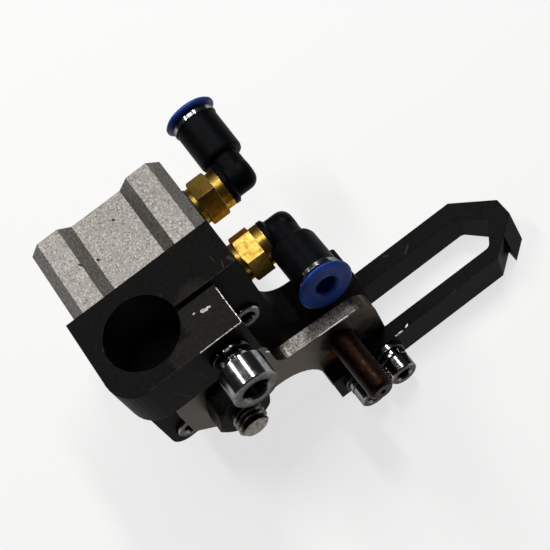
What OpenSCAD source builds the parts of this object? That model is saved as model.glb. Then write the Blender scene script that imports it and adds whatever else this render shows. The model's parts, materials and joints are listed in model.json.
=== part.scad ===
// Compact air cylinder with a split post clamp, a guided tool plate and a fork arm.
// Sizes are in millimetres. The rod lies on the Y axis and comes out towards -Y, +Z is up,
// and the origin is the middle of the body's rear face.
// Places along the rod are given as the distance in front of that face.

/* [Cylinder body] */
// Width and height of the square body
body_w = 29; // [28.5:0.5:31]
// Length of the body along the rod
body_l = 25.5; // [25.5:0.5:32]
// Width of the flat cut along each long edge
edge_cut = 2.2; // [1:0.1:2.6]
// Width of the sensor groove at the outer face
groove_top_w = 15.6; // [13:0.1:16.5]
// Width of the sensor groove at its floor
groove_floor_w = 10.9; // [8:0.1:12]
// Depth of the sensor groove
groove_deep = 2; // [1:0.1:2.4]
// Distance between the centres of the corner holes
bolt_pitch = 20; // [20:0.1:20.4]
// Distance of the rear air port from the body's rear face
rear_port_inset = 4.6; // [4.6:0.1:5]
// Distance of the front air port from the body's front face
front_port_inset = 5.3; // [5.3:0.1:5.5]

/* [Piston and rod] */
// Diameter of the cylinder bore
bore_d = 16; // [16:0.1:16.2]
// Travel of the rod
stroke = 5; // [3:0.5:5]
// Diameter of the rod
rod_d = 8; // [7.8:0.1:8]
// Diameter of the thread on the rod's end
rod_thread_d = 6; // [5.6:0.1:6]
// Gap between the bracket and the tool plate with the rod in
plate_gap = 2.1; // [1.5:0.1:4]
// Length of thread in front of the tool plate
rod_thread_out = 8.5; // [6:0.25:9]

/* [Clamp bracket] */
// Thickness of the bracket's flange
flange_t = 9.75; // [9:0.25:11]
// Height of the bracket's top above the rod axis
bracket_top = 25.9; // [24.5:0.1:28]
// Height of the clamp block
clamp_h = 10.7; // [9:0.1:11]
// Thickness of the front jaw
jaw_t = 8.7; // [8.2:0.1:9.5]
// Right end of the front jaw
jaw_right = 9.1; // [8.8:0.1:10]
// Width of the slit between the jaws
slit_w = 1.05; // [0.5:0.05:1.6]
// Diameter of the post that the clamp takes
post_d = 13.5; // [12.5:0.1:13.5]
// Place of the post's axis to the left of the rod
post_left = 5; // [4.9:0.1:5.4]
// Radius of the front jaw's outer corner
jaw_corner_r = 5.5; // [3:0.5:6]
// Place of the clamp screw's axis to the right of the rod
clamp_screw_x = 4.4; // [4.4:0.1:5.4]
// Right end of the guide wing
wing_right = 30.5; // [28:0.1:31]
// Top of the guide wing below the rod axis
wing_drop = 4.1; // [4.1:0.1:5]
// Thickness of the guide wing
wing_t = 8; // [6.5:0.25:8.5]

/* [Plate, pin and arm] */
// Thickness of the tool plate
plate_t = 3; // [2.5:0.1:3.2]
// Diameter of the guide pin
pin_d = 5; // [4.6:0.1:5]
// Length of the guide pin
pin_l = 26.5; // [24:0.5:30]
// Place of the guide pin to the right of the rod
pin_x = 21.5; // [21.3:0.1:22.5]
// Place of the guide pin below the rod axis
pin_drop = 9.7; // [9.2:0.1:10.4]
// Thickness of the fork arm
arm_h = 7.5; // [7:0.25:8.5]
// Top of the fork arm below the rod axis
arm_drop = 16.6; // [16:0.1:17.5]
// Thickness of the arm's front bar
front_bar_t = 3; // [2.5:0.1:3.5]
// Thickness of the arm's rear bar
rear_bar_t = 3.5; // [2.6:0.1:3.8]
// Width of the slot between the bars
arm_slot_w = 9.2; // [8.5:0.1:9.3]
// Right end of the arm
arm_right = 61.6; // [60.8:0.1:65]

/* [Air fittings] */
// Width of the brass hexagon across its flats
hex_af = 8.6; // [8.2:0.1:8.8]
// Distance of the elbow's sleeve from the body
sleeve_out = 10.2; // [10.1:0.1:10.5]
// Length from the port's axis to the end of the release ring
sleeve_reach = 16.2; // [15.6:0.1:16.4]
// Diameter of the elbow's sleeve
sleeve_d = 8.9; // [8.6:0.1:9]
// Diameter of the air tube that the elbow takes
tube_d = 4; // [4:0.01:4.04]
// Upward tilt of the rear elbow, in degrees
rear_tilt = 14; // [0:1:60]
// Upward tilt of the front elbow, in degrees
front_tilt = 7; // [7:1:60]

/* [Hidden] */
$fn = 48;
// Overlap of a cutting shape past the face that it cuts
cut = 0.5;
// Radial room of a thread or a seated part in its hole
seat_gap = 0.02;
// Radial room of a part that slides or turns in its hole
run_gap = 0.04;
half_w = body_w / 2;
half_pitch = bolt_pitch / 2;
steel = [0.55, 0.54, 0.52];
bright_steel = [0.75, 0.76, 0.78];
black_oxide = [0.09, 0.085, 0.08];
brass = [0.68, 0.55, 0.26];
rubber = [0.04, 0.04, 0.045];
aluminium = [0.66, 0.66, 0.64];

// Places along the rod, in front of the rear face
flange_front = body_l + flange_t;
plate_rear = flange_front + plate_gap;
plate_front = plate_rear + plate_t;
rod_end = plate_front + rod_thread_out;
jaw_rear = flange_front + slit_w;
jaw_front = jaw_rear + jaw_t;
cover_lip = 1.5;
cover_l = 3;
piston_rear = 3.9;
piston_shoulder = 7.2;
piston_front = 11;
bumper_t = 1;
gland_rear = body_l - 8.4;
gland_front = body_l - 1.8;
circlip_t = 0.8;
port_places = [rear_port_inset, body_l - front_port_inset];

// Screws: [thread, head diameter, head height, socket across flats, socket depth, socket mouth]
m3 = [3, 5.6, 3, 2.5, 1.6, 3.4];
m5 = [5, 8.4, 5, 4, 2.8, 5.5];
flange_screw_l = 15;
flange_screw_sink = 2.1;
arm_screw_l = 8;
clamp_screw_l = 20;
clamp_head_rear = jaw_front + 3.7;
clamp_z = bracket_top - clamp_h / 2;
clamp_base = bracket_top - clamp_h;
post_y = flange_front + 0.15;

arm_front = plate_front + front_bar_t;
arm_slot_rear = plate_front - arm_slot_w;
arm_rear = arm_slot_rear - rear_bar_t;
arm_bottom = -arm_drop - arm_h;
tab_left = 15.4;
tab_right = 29.7;
arm_screw_x = 23.7;
arm_screw_gap = 6.8;
arm_screw_z = -arm_drop - 3.5;
flat_washer_t = 1.1;
spring_washer_t = 1.6;
// The arm's slanting front corner: its length along the arm and across it
arm_corner = [7.5, 6.1];

// Heights in an air fitting, measured out from the body along the port's axis
gasket_t = 0.5;
neck_top_h = 1.3;
hex_top_h = 5.3;
stud_collar_h = 7.1;
stem_top_h = 12.4;
stem_d = 4.4;
barrel_r = 3.4;
barrel_low_h = stud_collar_h + 0.1;
barrel_top_h = 13.4;

// Lengths along an elbow's sleeve, measured from the port's axis
sleeve_start = 4.4;
seal_start = 6.2;
ring_flange_t = 1;
ring_travel = 0.5;
collar_t = 1;
collar_end = sleeve_reach - ring_flange_t - ring_travel - 0.1;
collar_start = collar_end - collar_t;

// Angles of the elbows and of the hexagons about their port's axis
rear_turn = rear_tilt;
front_turn = 180 - front_tilt;
rear_hex_turn = 22;
front_hex_turn = 44;

// Points of an outline whose corners are [x, y, radius]
function unit(v) = v / norm(v);
function turn_between(a, b) = atan2(a.x * b.y - a.y * b.x, a * b);
function corner(a, b, c, r, n) =
    let (
        u = unit(a - b),
        v = unit(c - b),
        half = acos(u * v) / 2,
        middle = b + unit(u + v) * (r / sin(half)),
        first = b + u * (r / tan(half)) - middle,
        last = b + v * (r / tan(half)) - middle,
        sweep = turn_between(first, last),
        start = atan2(first.y, first.x)
    )
    [for (i = [0:n]) middle + r * [cos(start + sweep * i / n), sin(start + sweep * i / n)]];
function flat(p) = [p.x, p.y];
function rounded(p, n = 8) = [
    for (i = [0:len(p) - 1])
        each p[i].z > 0
            ? corner(flat(p[(i + len(p) - 1) % len(p)]), flat(p[i]), flat(p[(i + 1) % len(p)]), p[i].z, n)
            : [flat(p[i])]
];

// Children drawn in X and Z, with their height running forwards from a place along the rod
module forward(from) {
    translate([0, -from, 0])
        rotate([90, 0, 0])
            children();
}

// Children drawn about a port's axis, which runs out to the right, with +Y turned by an angle
module at_port(from, turn) {
    translate([half_w, -from, 0])
        rotate([turn, 0, 0])
            rotate([0, 90, 0])
                children();
}

// A turned part: its profile holds [radius, distance] pairs
module turned(profile) {
    rotate_extrude()
        polygon(profile);
}

module disc(d, from, length) {
    translate([0, 0, from])
        cylinder(h = length, d = d);
}

module tube(outer, inner, length) {
    difference() {
        cylinder(h = length, d = outer);
        disc(inner, -cut, length + 2 * cut);
    }
}

module torus(ring_d, section_d) {
    rotate_extrude()
        translate([ring_d / 2, 0])
            circle(d = section_d, $fn = 24);
}

// A socket head screw whose head starts at height 0 and whose shank runs down from it
module socket_screw(size, length) {
    chamfer = 0.045 * size[1];
    mouth_h = size[2] - (size[5] - size[3]) / 2;
    difference() {
        union() {
            turned([
                [0, 0], [size[1] / 2, 0], [size[1] / 2, size[2] - chamfer],
                [size[1] / 2 - chamfer, size[2]], [0, size[2]]
            ]);
            turned([
                [0, -length], [size[0] / 2 - 0.4, -length], [size[0] / 2 - seat_gap, -length + 0.4],
                [size[0] / 2 - seat_gap, cut], [0, cut]
            ]);
        }
        translate([0, 0, size[2] - size[4]])
            cylinder(h = size[4] + cut, d = size[3] / cos(30), $fn = 6);
        turned([
            [0, mouth_h], [size[3] / 2, mouth_h], [size[5] / 2, size[2]], [size[5] / 2, size[2] + cut],
            [0, size[2] + cut]
        ]);
    }
}

// A split spring washer
module spring_washer(outer, inner, thick, split_turn) {
    difference() {
        tube(outer, inner, thick);
        rotate(split_turn)
            translate([0, -thick / 4, -cut])
                cube([outer, thick / 2, thick + 2 * cut]);
    }
}

module at_corners() {
    for (x = [-half_pitch, half_pitch], z = [-half_pitch, half_pitch])
        translate([x, z, 0])
            children();
}

module at_arm_screws() {
    for (side = [-1, 1])
        translate([arm_screw_x + side * arm_screw_gap / 2, arm_screw_z, 0])
            children();
}

// The extruded section of the body, with a sensor groove on three of its sides
module body_section() {
    difference() {
        polygon([
            for (turn = [0:90:270])
                each [
                    [half_w * cos(turn) - (half_w - edge_cut) * sin(turn),
                     half_w * sin(turn) + (half_w - edge_cut) * cos(turn)],
                    [(half_w - edge_cut) * cos(turn) - half_w * sin(turn),
                     (half_w - edge_cut) * sin(turn) + half_w * cos(turn)]
                ]
        ]);
        for (turn = [90, 180, 270])
            rotate(turn)
                polygon([
                    [half_w - groove_deep, -groove_floor_w / 2], [half_w, -groove_top_w / 2],
                    [half_w + cut, -groove_top_w / 2], [half_w + cut, groove_top_w / 2],
                    [half_w, groove_top_w / 2], [half_w - groove_deep, groove_floor_w / 2]
                ]);
    }
}

module cylinder_body() {
    port_thread_l = 4.4;
    air_hole_d = 3;
    tapped_l = 9;
    screw_hole_d = 3.6;
    color(aluminium)
        difference() {
            forward(0)
                linear_extrude(body_l)
                    body_section();
            forward(0) {
                disc(bore_d, -cut, body_l + 2 * cut);
                disc(bore_d + 2, -cut, cover_lip + cut);
                disc(bore_d + 1.4, gland_front, circlip_t + 0.1);
                at_corners() {
                    disc(screw_hole_d, -cut, body_l - tapped_l + cut);
                    disc(m3[0], body_l - tapped_l - cut, tapped_l + 2 * cut);
                }
            }
            for (place = port_places)
                at_port(place, 0) {
                    disc(m5[0], -port_thread_l, port_thread_l + cut);
                    disc(air_hole_d, -half_w + bore_d / 2 - cut, half_w);
                }
        }
}

module rear_cover() {
    r = bore_d / 2;
    color(aluminium)
        forward(0)
            turned([
                [0, 0], [r + 1 - seat_gap - 0.3, 0], [r + 1 - seat_gap, 0.3], [r + 1 - seat_gap, cover_lip],
                [r - seat_gap, cover_lip], [r - seat_gap, 1.7], [r - 0.9, 1.7], [r - 0.9, 2.6],
                [r - seat_gap, 2.6], [r - seat_gap, cover_l], [0, cover_l]
            ]);
}

module rear_cover_seal() {
    color(rubber)
        forward(2.15)
            torus(bore_d - 0.92, 0.84);
}

// The gland that guides and seals the rod, with a ring channel that leads the front port to the bore
module rod_cover() {
    r = bore_d / 2;
    channel_r = r - 1.3;
    slots = 4;
    color(aluminium)
        difference() {
            forward(gland_rear)
                turned([
                    [5 + seat_gap, 0], [r - seat_gap, 0], [r - seat_gap, 1.3], [channel_r, 1.3],
                    [channel_r, 4.6], [r - seat_gap, 4.6], [r - seat_gap, 5.2], [r - 0.9, 5.2],
                    [r - 0.9, 6.2], [r - seat_gap, 6.2], [r - seat_gap, 6.6], [rod_d / 2 + 0.1, 6.6],
                    [rod_d / 2 + 0.1, 6], [5.6, 6], [5.6, 3.8], [5 + seat_gap, 3.8]
                ]);
            forward(gland_rear)
                for (i = [0:slots - 1])
                    rotate(i * 360 / slots)
                        translate([channel_r, -1.5, -cut])
                            cube([2, 3, 1.4 + cut]);
        }
}

module rod_cover_seal() {
    color(rubber)
        forward(gland_rear + 5.7)
            torus(bore_d - 0.92, 0.84);
}

module rod_bush() {
    color(brass)
        forward(gland_rear)
            tube(10, rod_d + 2 * run_gap, 3.8);
}

module rod_seal() {
    r = rod_d / 2 + run_gap;
    color(rubber)
        forward(gland_rear + 3.8)
            turned([
                [r + 0.3, 0.1], [r + 0.7, 0.7], [r + 0.85, 0.7], [r + 1.2, 0.1], [5.55, 0.1],
                [5.55, 2.1], [r, 2.1], [r, 1.6], [r + 0.25, 1.2], [r, 0.5]
            ]);
}

module circlip() {
    ring_r = bore_d / 2;
    color(steel)
        forward(gland_front + 0.05)
            linear_extrude(circlip_t)
                difference() {
                    circle(r = ring_r + 0.6);
                    circle(r = ring_r - 1.2);
                    polygon([[0, 0], [-4, -12], [4, -12]]);
                }
}

module piston() {
    r = bore_d / 2;
    color(aluminium)
        forward(0)
            turned([
                [5.1, piston_rear], [6, piston_rear], [6, piston_shoulder], [r - 0.1, piston_shoulder],
                [r - 0.1, 8.1], [r - 1.7, 8.1], [r - 1.7, 10.1], [r - 0.1, 10.1], [r - 0.1, piston_front],
                [2.5 + seat_gap, piston_front], [2.5 + seat_gap, piston_rear + 0.5], [5.1, piston_rear + 0.5]
            ]);
}

module piston_seal() {
    r = bore_d / 2;
    color(rubber)
        forward(0)
            turned([
                [r - 1.65, 8.15], [r - run_gap, 8.15], [r - run_gap, 8.7], [r - 0.5, 9.1], [r - run_gap, 9.5],
                [r - run_gap, 10.05], [r - 1.65, 10.05]
            ]);
}

module piston_bumpers() {
    color(rubber) {
        forward(cover_l + 0.1)
            cylinder(h = piston_rear + 0.5 - cover_l - 0.1, r = 5);
        forward(piston_front)
            tube(12, rod_d + 2 * seat_gap, bumper_t);
    }
}

module piston_rod() {
    r = rod_d / 2;
    thread_r = rod_thread_d / 2;
    flat_w = 7;
    color(steel)
        difference() {
            forward(0)
                turned([
                    [0, piston_rear + 0.5], [2.2, piston_rear + 0.5], [2.5, piston_rear + 0.8],
                    [2.5, piston_front], [r, piston_front], [r, plate_rear], [thread_r, plate_rear],
                    [thread_r, rod_end - 0.7], [thread_r - 0.7, rod_end], [0, rod_end]
                ]);
            for (side = [-1, 1])
                translate([side * (flat_w / 2 + r), -plate_rear + 2, 0])
                    cube([2 * r, 4, 3 * r], center = true);
        }
}

// The outline of the bracket's flange, seen along the rod
module flange_outline() {
    polygon(rounded([
        [-half_w, -half_w, 3], [half_w, -half_w, 0], [half_w, bracket_top, 0], [-half_w, bracket_top, 0]
    ]));
}

// The wing to the right of the flange, with the fillet that blends it into the flange's side
module wing_outline() {
    fillet = 5.6;
    polygon(rounded([
        [half_w - cut, -half_w, 0], [wing_right, -half_w, 1.5], [wing_right, -wing_drop, 1],
        [half_w, -wing_drop, fillet], [half_w, fillet, 0], [half_w - cut, fillet, 0]
    ]));
}

// The front jaw seen from above, with the back that joins it to the flange on the left
module jaw_outline() {
    polygon(rounded([
        [-half_w, -flange_front + cut, 0], [-half_w, -jaw_front, jaw_corner_r], [jaw_right, -jaw_front, 0],
        [jaw_right, -jaw_rear, 0], [-post_left, -jaw_rear, 0], [-post_left, -flange_front + cut, 0]
    ]));
}

module clamp_bracket() {
    bore_below = 2;
    head_room = 0.1;
    screw_hole_d = 3.2;
    color(black_oxide)
        difference() {
            union() {
                forward(body_l)
                    linear_extrude(flange_t)
                        flange_outline();
                forward(flange_front - wing_t)
                    linear_extrude(wing_t)
                        wing_outline();
                translate([0, 0, clamp_base])
                    linear_extrude(clamp_h)
                        jaw_outline();
            }
            translate([-post_left, -post_y, clamp_base - bore_below])
                cylinder(h = clamp_h + bore_below + cut, d = post_d, $fn = 64);
            forward(body_l) {
                disc(rod_d + 0.8, -cut, flange_t + 2 * cut);
                at_corners() {
                    disc(screw_hole_d, -cut, flange_t + 2 * cut);
                    disc(m3[1] + 2 * head_room, flange_t - flange_screw_sink, m3[2] + cut);
                }
                translate([clamp_screw_x, clamp_z, 0]) {
                    disc(m5[0], -cut, flange_t + 2 * cut);
                    disc(m5[0] + 0.3, flange_t + slit_w / 2, jaw_t + slit_w);
                }
                translate([pin_x, -pin_drop, 0])
                    disc(pin_d + 2 * seat_gap, -cut, flange_t + 2 * cut);
            }
        }
}

module flange_screws() {
    color(bright_steel)
        forward(flange_front - flange_screw_sink)
            at_corners()
                socket_screw(m3, flange_screw_l);
}

module clamp_screw() {
    color(bright_steel)
        forward(clamp_head_rear)
            translate([clamp_screw_x, clamp_z, 0])
                rotate(20)
                    socket_screw(m5, clamp_screw_l);
}

module clamp_washer() {
    color(steel)
        forward(jaw_front)
            translate([clamp_screw_x, clamp_z, 0])
                spring_washer(8.4, 5.2, 1.3, 110);
}

module guide_pin() {
    chamfer = 0.6;
    color([0.36, 0.26, 0.2])
        forward(flange_front - wing_t)
            translate([pin_x, -pin_drop, 0])
                difference() {
                    turned([
                        [0, 0], [pin_d / 2 - chamfer, 0], [pin_d / 2, chamfer], [pin_d / 2, pin_l - chamfer],
                        [pin_d / 2 - chamfer, pin_l], [0, pin_l]
                    ]);
                    translate([0, 0, pin_l - 0.6])
                        cylinder(h = 0.6 + cut, r1 = 0.2, r2 = 1);
                }
}

// The plate on the rod's end: a round-cornered head, a neck to the guide pin and a tab for the arm
module plate_outline() {
    head_r = 9.7;
    head_left = -9.5;
    head_top = 7.8;
    head_low = -9.2;
    neck_top = -2.8;
    polygon(rounded([
        [head_left, head_top, 3.5], [head_left, -3.8, 2], [-4.6, head_low, 2.5], [tab_left, head_low, 8],
        [tab_left, arm_bottom, 0.8], [tab_right, arm_bottom, 0.8],
        [tab_right, neck_top - 1.6, 4.5], [head_r, neck_top, 3], [head_r, head_top, 3.5]
    ]));
}

module tool_plate() {
    color(steel)
        forward(plate_rear)
            difference() {
                linear_extrude(plate_t)
                    plate_outline();
                disc(rod_thread_d + 2 * seat_gap, -cut, plate_t + 2 * cut);
                translate([pin_x, -pin_drop, 0])
                    disc(pin_d + 2 * run_gap, -cut, plate_t + 2 * cut);
                at_arm_screws()
                    disc(m3[0], -cut, plate_t + 2 * cut);
            }
}

module rod_nut() {
    af = 10;
    thick = 5;
    chamfer = 0.5;
    color(black_oxide)
        forward(plate_front)
            difference() {
                intersection() {
                    rotate(13)
                        cylinder(h = thick, d = af / cos(30), $fn = 6);
                    turned([
                        [0, 0], [af / 2, 0], [af / cos(30) / 2, chamfer], [af / cos(30) / 2, thick - chamfer],
                        [af / 2, thick], [0, thick]
                    ]);
                }
                disc(rod_thread_d + 2 * seat_gap, -cut, thick + 2 * cut);
            }
}

// The fork arm seen from above: a milled slot with a pointed end, open to the left
module arm_outline() {
    rear_start = 30.5;
    front_start = tab_left + 0.1;
    edge_r = 0.3;
    slot_r = 1.5;
    polygon(rounded([
        [front_start, -arm_front, 0], [arm_right - arm_corner.x, -arm_front, edge_r],
        [arm_right, -arm_front + arm_corner.y, edge_r], [arm_right, -arm_rear - 5.8, edge_r],
        [arm_right - arm_corner.x, -arm_rear, edge_r], [rear_start, -arm_rear, 0],
        [rear_start, -arm_slot_rear, 0], [arm_right - 8, -arm_slot_rear, slot_r],
        [arm_right - 4, -arm_slot_rear - 4.45, 0.8], [arm_right - 7.2, -plate_front, slot_r],
        [front_start, -plate_front, 0]
    ], 6));
}

// The lip that flares out to the foot of the arm's slanting front corner
module arm_lip() {
    lip_out = 1.85;
    lip_l = 3.7;
    slant = atan2(arm_corner.y, arm_corner.x);
    intersection() {
        translate([arm_right, -arm_front + arm_corner.y, arm_bottom])
            rotate([90, 0, slant - 90])
                translate([0, 0, -lip_l])
                    linear_extrude(3 * lip_l)
                        polygon([[-cut, 0], [lip_out, 0], [0, arm_h], [-cut, arm_h]]);
        translate([arm_right - lip_l, -arm_front - lip_out, arm_bottom])
            cube([lip_l, arm_corner.y + lip_out, arm_h]);
    }
}

module fork_arm() {
    color(black_oxide)
        difference() {
            union() {
                translate([0, 0, arm_bottom])
                    linear_extrude(arm_h)
                        arm_outline();
                arm_lip();
            }
            forward(plate_front)
                at_arm_screws()
                    disc(3.4, -cut, front_bar_t + 2 * cut);
        }
}

module arm_flat_washers() {
    color(bright_steel)
        forward(arm_front)
            at_arm_screws()
                tube(6.5, 3.2, flat_washer_t);
}

module arm_spring_washers() {
    color(bright_steel)
        forward(arm_front + flat_washer_t)
            at_arm_screws()
                spring_washer(5.8, 3.2, spring_washer_t, 60);
}

module arm_screws() {
    color(bright_steel)
        forward(arm_front + flat_washer_t + spring_washer_t)
            at_arm_screws()
                socket_screw(m3, arm_screw_l);
}

module stud(place, hex_turn) {
    neck_r = 3.9;
    collar_r = 4;
    hex_r = hex_af / cos(30) / 2;
    round_r = hex_r + 0.1;
    chamfer = 0.3;
    color(brass)
        at_port(place, 0)
            difference() {
                union() {
                    turned([
                        [0, -4.2], [2.1, -4.2], [2.5 - seat_gap, -3.8], [2.5 - seat_gap, gasket_t],
                        [neck_r, gasket_t], [neck_r, hex_top_h], [collar_r, hex_top_h],
                        [collar_r, stud_collar_h], [stem_d / 2, stud_collar_h], [stem_d / 2, 9.4],
                        [1.65, 9.4], [1.65, 10.4], [stem_d / 2, 10.4], [stem_d / 2, stem_top_h],
                        [0, stem_top_h]
                    ]);
                    intersection() {
                        translate([0, 0, neck_top_h])
                            rotate(hex_turn)
                                cylinder(h = hex_top_h - neck_top_h, r = hex_r, $fn = 6);
                        turned([
                            [0, neck_top_h], [hex_af / 2, neck_top_h], [round_r, neck_top_h + chamfer],
                            [round_r, hex_top_h - chamfer], [hex_af / 2, hex_top_h], [0, hex_top_h]
                        ]);
                    }
                }
                disc(2.2, -5, stem_top_h + 6);
            }
}

module gasket(place) {
    color(rubber)
        at_port(place, 0)
            tube(8.2, m5[0], gasket_t);
}

module stem_seal(place) {
    color(rubber)
        at_port(place, 0)
            translate([0, 0, 9.9])
                torus(3.88, 0.56);
}

// Children drawn along an elbow's sleeve, with their height measured from the port's axis
module along_sleeve(place, turn) {
    at_port(place, turn)
        translate([0, 0, sleeve_out])
            rotate([-90, 0, 0])
                children();
}

module elbow(place, turn) {
    foot_r = 4.1;
    round_r = 2.2;
    neck_w = 6.9;
    neck_r = 3;
    neck_out = sleeve_out - barrel_top_h + 0.05;
    neck_in = sleeve_out - barrel_low_h - 0.05;
    color(rubber)
        difference() {
            union() {
                at_port(place, turn)
                    turned([
                        [0, barrel_low_h], [foot_r, barrel_low_h], [foot_r, 8.1], [barrel_r, 8.6],
                        for (i = [0:5]) [
                            barrel_r - round_r + round_r * cos(15 * i),
                            barrel_top_h - round_r + round_r * sin(15 * i)
                        ],
                        [barrel_r - round_r, barrel_top_h], [0, barrel_top_h]
                    ]);
                along_sleeve(place, turn)
                    linear_extrude(sleeve_start + cut)
                        polygon(rounded([
                            [-neck_w / 2, neck_out, neck_r], [neck_w / 2, neck_out, neck_r],
                            [neck_w / 2, neck_in, neck_r], [-neck_w / 2, neck_in, neck_r]
                        ]));
                along_sleeve(place, turn)
                    turned([
                        [0, sleeve_start], [sleeve_d / 2 - 0.7, sleeve_start],
                        [sleeve_d / 2 - 0.2, sleeve_start + 0.25], [sleeve_d / 2, sleeve_start + 0.8],
                        [sleeve_d / 2, collar_start], [0, collar_start]
                    ]);
            }
            at_port(place, turn)
                disc(stem_d + 2 * run_gap, barrel_low_h - cut, stem_top_h + 0.1 - barrel_low_h + cut);
            along_sleeve(place, turn) {
                disc(2.6, 0, sleeve_reach);
                disc(tube_d + 0.1, seal_start - 1.2, sleeve_reach);
                disc(6.4, seal_start, sleeve_reach);
            }
        }
}

module tube_seal(place, turn) {
    color(rubber)
        along_sleeve(place, turn)
            translate([0, 0, seal_start])
                tube(6.4 - 2 * seat_gap, tube_d + 0.1, 1.6);
}

module grip(place, turn) {
    teeth = 6;
    color(steel)
        along_sleeve(place, turn)
            translate([0, 0, seal_start + 1.7])
                difference() {
                    tube(6.3, tube_d + 0.4, 2.2);
                    for (i = [0:teeth - 1])
                        rotate(i * 360 / teeth)
                            translate([2.1, -0.3, -cut])
                                cube([2, 0.6, 1.4 + cut]);
                }
}

module collar(place, turn) {
    collar_r = sleeve_d / 2 + 0.2;
    color(bright_steel)
        along_sleeve(place, turn)
            turned([
                [3.2, collar_start], [collar_r, collar_start], [collar_r, collar_end - 0.2],
                [collar_r - 0.2, collar_end], [2.9, collar_end], [2.9, collar_end - 0.5],
                [3.2, collar_end - 0.5]
            ]);
}

module release_ring(place, turn) {
    flange_r = 5.4;
    flange_low = sleeve_reach - ring_flange_t;
    color([0.2, 0.32, 0.68])
        along_sleeve(place, turn)
            turned([
                [tube_d / 2 + 0.05, seal_start + 4.8], [2.75, seal_start + 4.8], [2.75, flange_low],
                [flange_r - 0.3, flange_low], [flange_r, flange_low + 0.3], [flange_r, sleeve_reach - 0.4],
                [flange_r - 0.4, sleeve_reach], [2.5, sleeve_reach], [tube_d / 2 + 0.05, sleeve_reach - 0.45]
            ]);
}

cylinder_body();
rear_cover();
rear_cover_seal();
rod_cover();
rod_cover_seal();
rod_bush();
rod_seal();
circlip();
piston();
piston_seal();
piston_bumpers();
piston_rod();
clamp_bracket();
flange_screws();
clamp_screw();
clamp_washer();
guide_pin();
tool_plate();
rod_nut();
fork_arm();
arm_screws();
arm_flat_washers();
arm_spring_washers();
stud(port_places[0], rear_hex_turn);  // rear_stud
gasket(port_places[0]);  // rear_gasket
elbow(port_places[0], rear_turn);  // rear_elbow
stem_seal(port_places[0]);  // rear_stem_seal
tube_seal(port_places[0], rear_turn);  // rear_tube_seal
grip(port_places[0], rear_turn);  // rear_grip
collar(port_places[0], rear_turn);  // rear_collar
release_ring(port_places[0], rear_turn);  // rear_release_ring
stud(port_places[1], front_hex_turn);  // front_stud
gasket(port_places[1]);  // front_gasket
elbow(port_places[1], front_turn);  // front_elbow
stem_seal(port_places[1]);  // front_stem_seal
tube_seal(port_places[1], front_turn);  // front_tube_seal
grip(port_places[1], front_turn);  // front_grip
collar(port_places[1], front_turn);  // front_collar
release_ring(port_places[1], front_turn);  // front_release_ring
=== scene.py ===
import json
import math

import bmesh
import bpy
from mathutils import Euler, Matrix, Vector


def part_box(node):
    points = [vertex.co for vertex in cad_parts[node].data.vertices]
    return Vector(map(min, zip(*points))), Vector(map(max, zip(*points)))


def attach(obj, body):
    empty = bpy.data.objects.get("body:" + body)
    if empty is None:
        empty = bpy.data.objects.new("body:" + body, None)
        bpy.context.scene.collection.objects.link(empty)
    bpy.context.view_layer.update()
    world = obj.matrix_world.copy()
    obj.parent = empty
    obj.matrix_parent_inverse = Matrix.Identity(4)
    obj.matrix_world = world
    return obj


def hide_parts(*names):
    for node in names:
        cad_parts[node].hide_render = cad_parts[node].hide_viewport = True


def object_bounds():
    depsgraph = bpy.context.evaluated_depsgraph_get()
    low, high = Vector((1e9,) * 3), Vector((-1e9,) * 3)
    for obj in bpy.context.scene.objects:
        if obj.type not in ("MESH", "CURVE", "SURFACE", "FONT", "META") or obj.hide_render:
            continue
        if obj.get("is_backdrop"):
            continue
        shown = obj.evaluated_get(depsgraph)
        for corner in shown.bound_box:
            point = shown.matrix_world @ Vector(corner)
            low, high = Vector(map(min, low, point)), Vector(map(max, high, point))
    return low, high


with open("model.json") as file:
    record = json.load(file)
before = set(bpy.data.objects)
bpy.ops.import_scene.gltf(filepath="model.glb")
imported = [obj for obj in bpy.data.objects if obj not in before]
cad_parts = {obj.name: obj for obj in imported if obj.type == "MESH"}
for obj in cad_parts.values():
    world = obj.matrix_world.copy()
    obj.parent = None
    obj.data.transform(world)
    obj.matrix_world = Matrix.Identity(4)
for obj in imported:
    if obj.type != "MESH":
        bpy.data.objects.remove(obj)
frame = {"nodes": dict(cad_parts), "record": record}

bl_info = {
    "name": "Compact air cylinder finish",
    "version": (1, 0, 0),
    "blender": (4, 5, 0),
    "location": "View3D > Sidebar > Air cylinder",
    "description": "Surfaces, threads and studio for a compact air cylinder with a post clamp and a fork arm",
    "category": "Object",
}

MM = 0.001
IMAGE_SIDE_PX = 550
SENSOR_MM = 36.0
CLIP_START = 0.01

# Studio, in metres from the middle of the object
FLOOR_SIDE = 3.0
LAMP_HEIGHT = 0.5
TUBE_SIZE = (0.06, 0.3)
TUBE_ASIDE = 0.22
TUBE_BEHIND = 0.28
TOP_SIDE = 0.2
TOP_BEHIND = 0.06
# How much of the paper's own white the camera and reflections see
PAPER_GLOW = 0.7

# Mesh work
TURN_STEPS = 40
MERGE_MM = 0.001
CUT_MM = 0.0001
SHARP_DEGREES = 35
# How far a shank goes on past the place where its thread takes over
SHELL_OVERLAP_MM = 0.03
# Depth of a metric thread, as a part of its pitch
THREAD_DEPTH = 0.6134
# One pitch of a thread's outline: how far along it, and whether that corner is on the crest
THREAD_OUTLINE = ((0, False), (0.1, False), (0.42, True), (0.55, True), (0.87, False), (1, False))

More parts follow.
